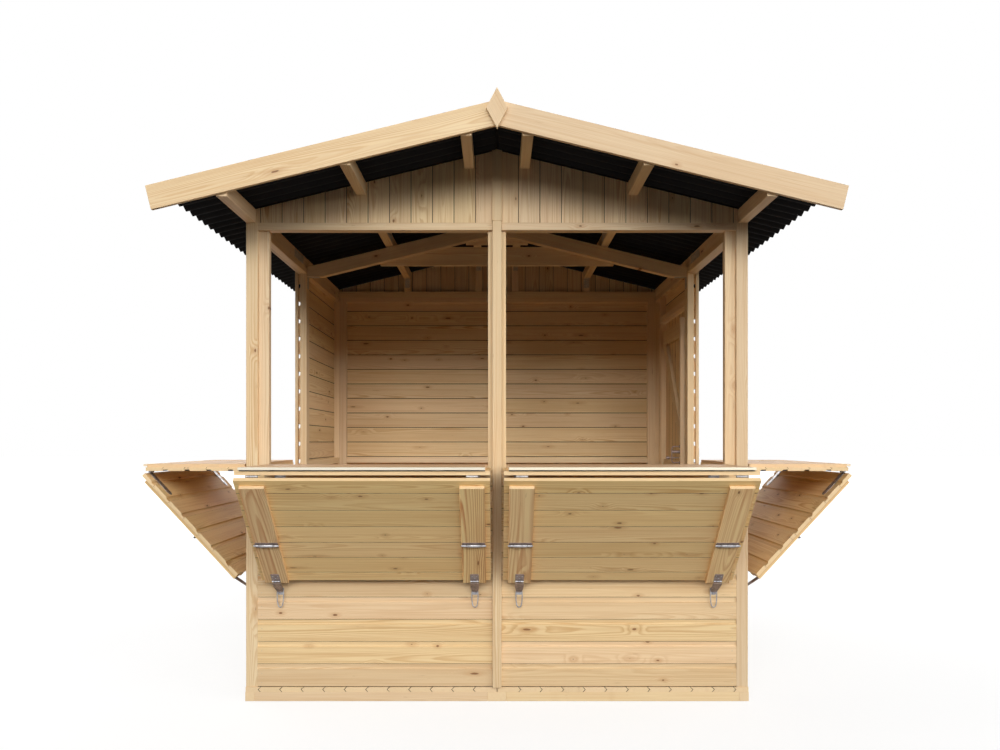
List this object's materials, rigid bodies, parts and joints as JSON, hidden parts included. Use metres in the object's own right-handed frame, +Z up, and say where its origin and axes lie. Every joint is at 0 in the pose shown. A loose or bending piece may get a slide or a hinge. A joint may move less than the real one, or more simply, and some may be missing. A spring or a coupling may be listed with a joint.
{
  "type": "wooden market stall",
  "caption": "Gabled timber market stall with fold-down serving counters at the front and sides, a ledged side door and a corrugated roof.",
  "frame": {"origin": "on the ground, at the centre of the base's plan", "axes": "+Z up, the serving front faces -Y, +X to the right of someone who faces the front"},
  "size_m": [3.11, 2.916, 2.4781],
  "materials": {
    "pine_boards": "planed pine tongue-and-groove boards, bare",
    "planed_timber": "planed softwood, bare",
    "bitumen_sheet": "black corrugated bitumen, matt",
    "galvanised_steel": "zinc plated, satin",
    "black_steel": "dark coated steel"
  },
  "bodies": {
    "stall": {"back_bargeboards": "planed_timber", "back_frame": "planed_timber", "back_gable": "pine_boards", "back_wall": "pine_boards", "base_bearers": "planed_timber", "collar_tie": "planed_timber", "corner_boards": "planed_timber", "cover_battens": "planed_timber", "door_frame": "planed_timber", "door_hinge_plates": "galvanised_steel", "door_jamb_board": "pine_boards", "eaves_beams": "planed_timber", "finials": "planed_timber", "fixed_hinges": "galvanised_steel", "floor_boards": "pine_boards", "front_bargeboards": "planed_timber", "front_frame": "planed_timber", "front_gable": "pine_boards", "front_lower_wall": "pine_boards", "gable_battens": "planed_timber", "gable_rails": "planed_timber", "hasps": "galvanised_steel", "left_frame": "planed_timber", "left_lower_wall": "pine_boards", "left_rear_wall": "pine_boards", "lintel_boards": "planed_timber", "over_door_wall": "pine_boards", "purlins": "planed_timber", "ridge_cap": "bitumen_sheet", "right_front_frame": "planed_timber", "right_lower_wall": "pine_boards", "right_rear_wall": "pine_boards", "roof_brackets": "galvanised_steel", "roof_sheet_left": "bitumen_sheet", "roof_sheet_right": "bitumen_sheet", "sill_battens": "planed_timber", "truss_gusset": "planed_timber", "truss_rafters": "planed_timber"},
    "door": {"door_leaf": "pine_boards", "door_ledges": "planed_timber", "door_handles": "black_steel", "door_straps": "galvanised_steel"},
    "front_left_counter_body": {"front_left_counter": "pine_boards", "front_left_counter_irons": "galvanised_steel"},
    "front_left_flap_body": {"front_left_flap": "pine_boards", "front_left_flap_irons": "galvanised_steel"},
    "front_right_counter_body": {"front_right_counter": "pine_boards", "front_right_counter_irons": "galvanised_steel"},
    "front_right_flap_body": {"front_right_flap": "pine_boards", "front_right_flap_irons": "galvanised_steel"},
    "side_left_counter_body": {"side_left_counter": "pine_boards", "side_left_counter_irons": "galvanised_steel"},
    "side_left_flap_body": {"side_left_flap": "pine_boards", "side_left_flap_irons": "galvanised_steel"},
    "side_right_counter_body": {"side_right_counter": "pine_boards", "side_right_counter_irons": "galvanised_steel"},
    "side_right_flap_body": {"side_right_flap": "pine_boards", "side_right_flap_irons": "galvanised_steel"}
  },
  "joints": [
    {"name": "door_hinge", "type": "hinge", "parent": "stall", "child": "door", "pos_m": [1.0924, 0.7435, 0.968], "axis": [0, 0, 1], "range_deg": [0, 110]},
    {"name": "front_left_sill_hinge", "type": "hinge", "parent": "stall", "child": "front_left_counter_body", "pos_m": [-0.5145, -1.024, 0.9895], "axis": [-1, 0, 0], "range_deg": [0, 90]},
    {"name": "front_left_fold_hinge", "type": "hinge", "parent": "front_left_counter_body", "child": "front_left_flap_body", "pos_m": [-0.5145, -1.456, 0.9895], "axis": [-1, 0, 0], "range_deg": [0, 132.8]},
    {"name": "front_right_sill_hinge", "type": "hinge", "parent": "stall", "child": "front_right_counter_body", "pos_m": [0.5145, -1.024, 0.9895], "axis": [-1, 0, 0], "range_deg": [0, 90]},
    {"name": "front_right_fold_hinge", "type": "hinge", "parent": "front_right_counter_body", "child": "front_right_flap_body", "pos_m": [0.5145, -1.456, 0.9895], "axis": [-1, 0, 0], "range_deg": [0, 132.8]},
    {"name": "side_left_sill_hinge", "type": "hinge", "parent": "stall", "child": "side_left_counter_body", "pos_m": [-1.107, -0.4935, 0.9895], "axis": [0, 1, 0], "range_deg": [0, 90]},
    {"name": "side_left_fold_hinge", "type": "hinge", "parent": "side_left_counter_body", "child": "side_left_flap_body", "pos_m": [-1.539, -0.4935, 0.9895], "axis": [0, 1, 0], "range_deg": [0, 132.8]},
    {"name": "side_right_sill_hinge", "type": "hinge", "parent": "stall", "child": "side_right_counter_body", "pos_m": [1.107, -0.4935, 0.9895], "axis": [0, -1, 0], "range_deg": [0, 90]},
    {"name": "side_right_fold_hinge", "type": "hinge", "parent": "side_right_counter_body", "child": "side_right_flap_body", "pos_m": [1.539, -0.4935, 0.9895], "axis": [0, -1, 0], "range_deg": [0, 132.8]}
  ]
}
